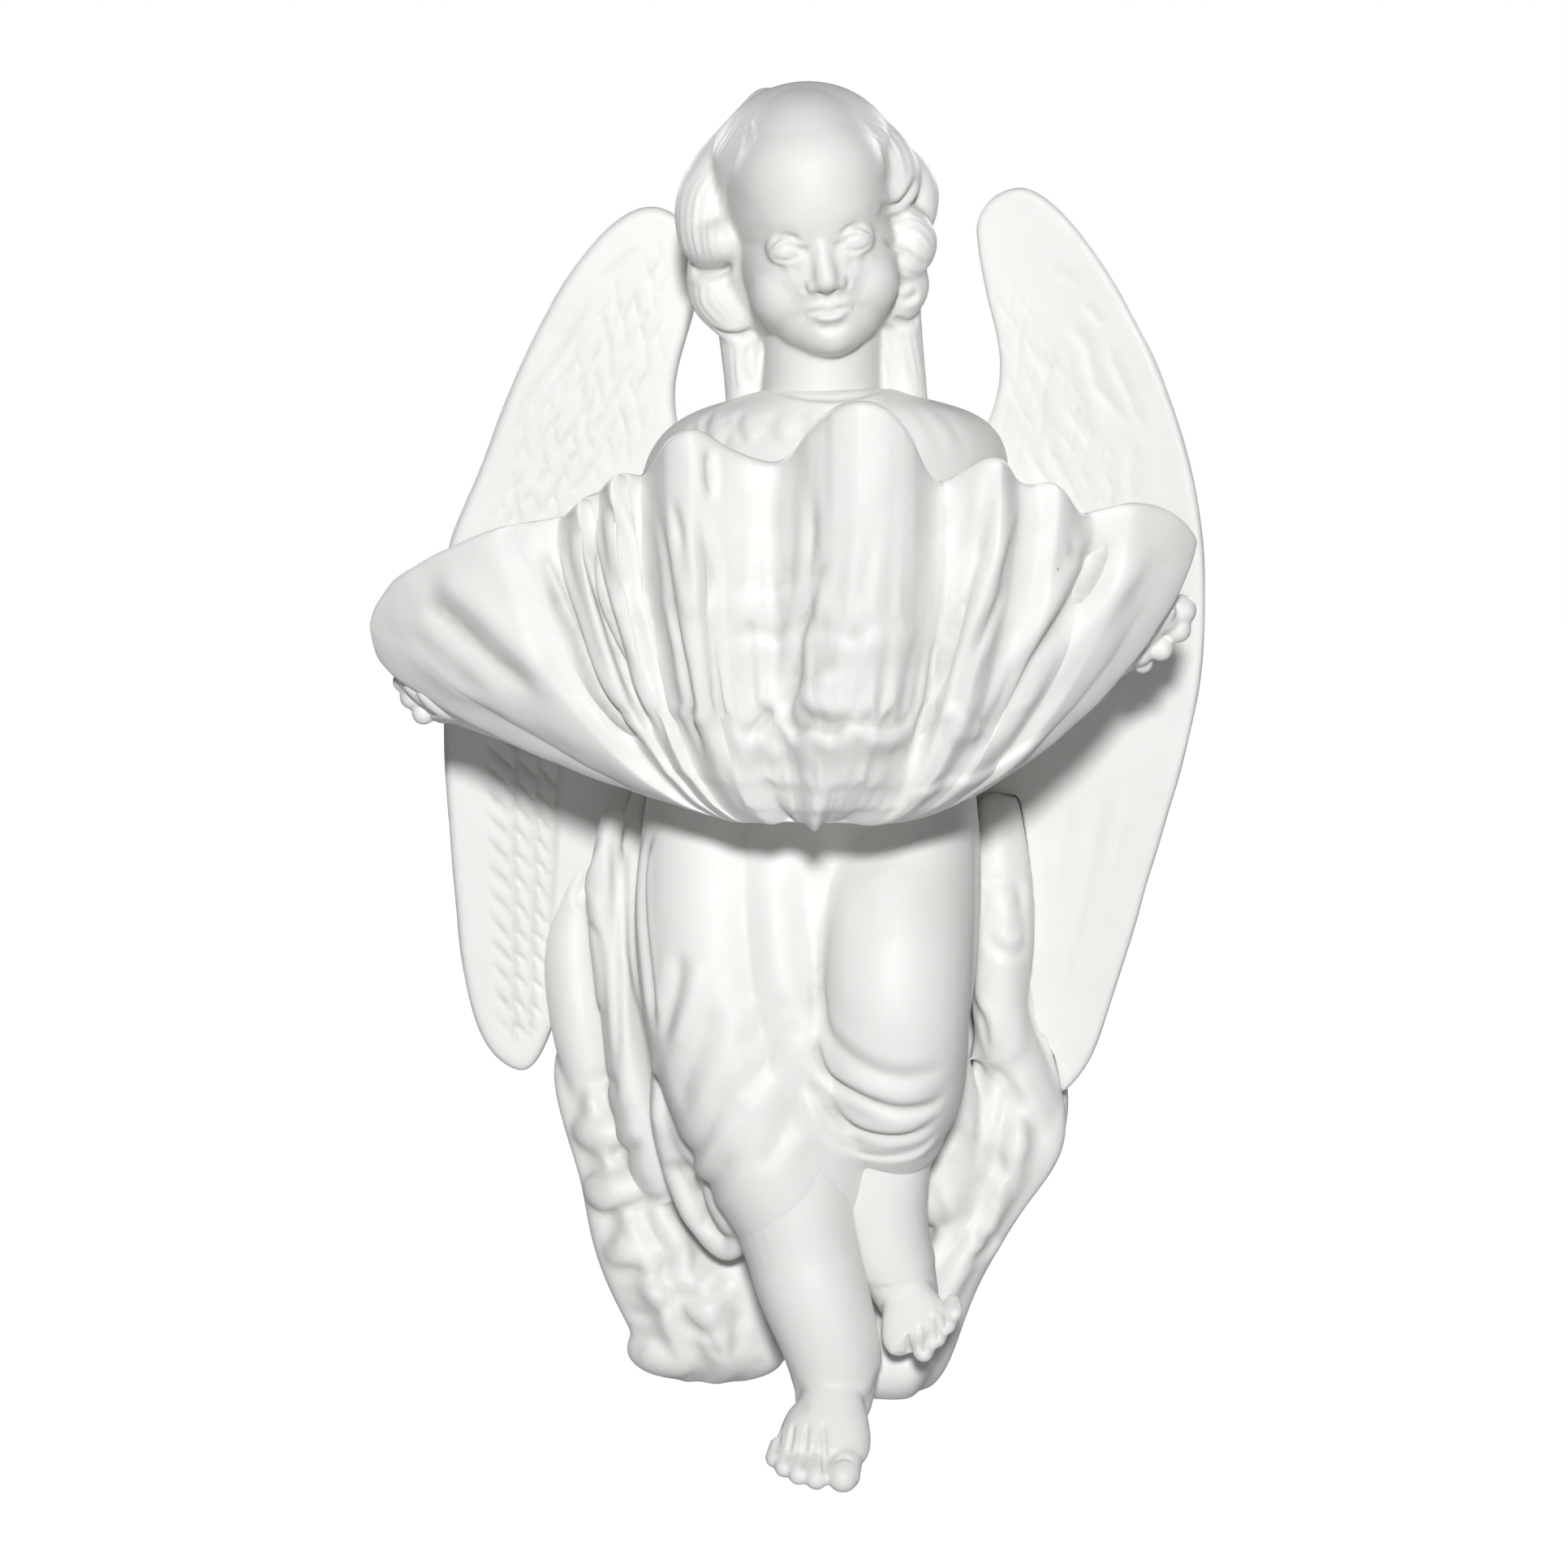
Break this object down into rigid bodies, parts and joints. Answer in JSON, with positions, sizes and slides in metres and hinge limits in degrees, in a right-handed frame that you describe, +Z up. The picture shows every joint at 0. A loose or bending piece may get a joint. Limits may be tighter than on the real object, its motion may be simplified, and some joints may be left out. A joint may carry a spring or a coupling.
{
  "type": "holy water stoup",
  "caption": "Wall-hung porcelain stoup: a winged child angel holds a folded scallop shell in front of it as the water basin, with a hanging hole in its flat back.",
  "frame": {"origin": "centre of the hanging hole's mouth, in the flat back that lies on the wall", "axes": "+Z up, +Y into the wall, so the angel looks along -Y; +X is the angel's own left"},
  "size_m": [0.1834, 0.1249, 0.3139],
  "materials": {
    "bisque": "unglazed matt white bisque porcelain"
  },
  "bodies": {
    "root": {"back_plate": "bisque", "gown": "bisque", "hair_cap": "bisque", "head": "bisque", "left_hair_locks": "bisque", "left_hand": "bisque", "left_knee_drape": "bisque", "left_leg": "bisque", "left_mantle_fall": "bisque", "left_side_folds": "bisque", "left_sleeve": "bisque", "left_wing": "bisque", "right_hair_locks": "bisque", "right_hand": "bisque", "right_leg": "bisque", "right_leg_drape": "bisque", "right_mantle_fall": "bisque", "right_side_folds": "bisque", "right_sleeve": "bisque", "right_wing": "bisque", "shell_basin": "bisque", "torso": "bisque"}
  },
  "joints": []
}
